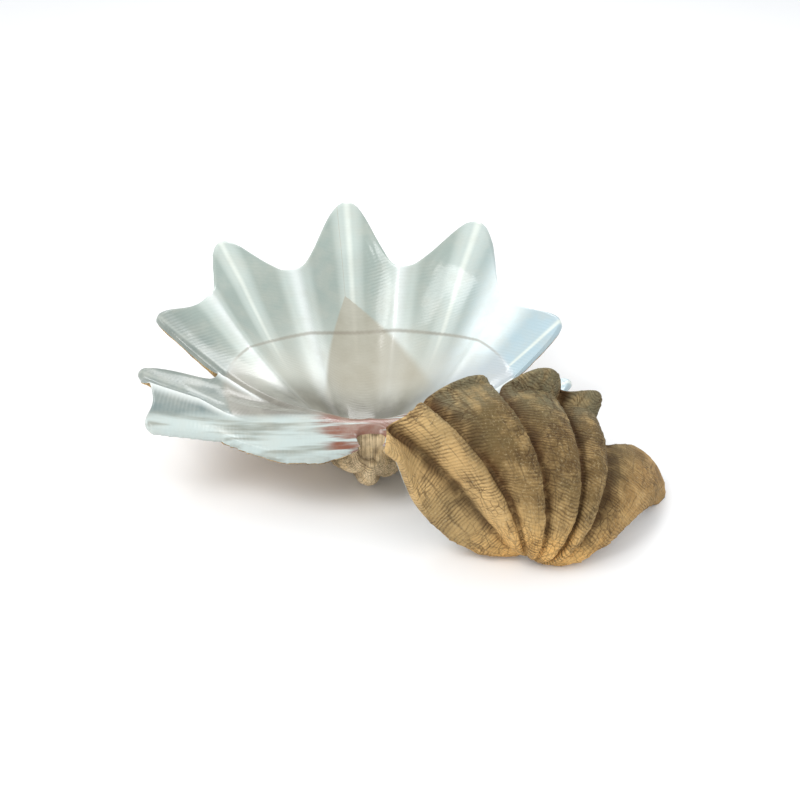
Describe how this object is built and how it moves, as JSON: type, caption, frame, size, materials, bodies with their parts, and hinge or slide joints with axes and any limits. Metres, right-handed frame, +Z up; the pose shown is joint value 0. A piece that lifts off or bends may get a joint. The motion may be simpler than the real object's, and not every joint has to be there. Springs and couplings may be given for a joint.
{
  "type": "giant clam shell",
  "caption": "Giant clam shell as two loose valves: one lying hollow side up with a pearly fluted bowl, the other leaning beside it showing its ribbed brown outside.",
  "frame": {"origin": "on the ground, under the middle of the box around both valves", "axes": "+Z up; +X to the right along the lower valve's hinge edge; +Y from the hinge towards the tall fluted rim at the back"},
  "size_m": [0.841, 0.701, 0.2838],
  "materials": {
    "pearl": "polished pearly shell, greenish white, beige in the bowl",
    "crust": "dry ribbed shell, ochre brown with dark grooves and fine growth lines"
  },
  "bodies": {
    "root": {"lower_valve": "pearl", "upper_valve": "crust"}
  },
  "joints": []
}
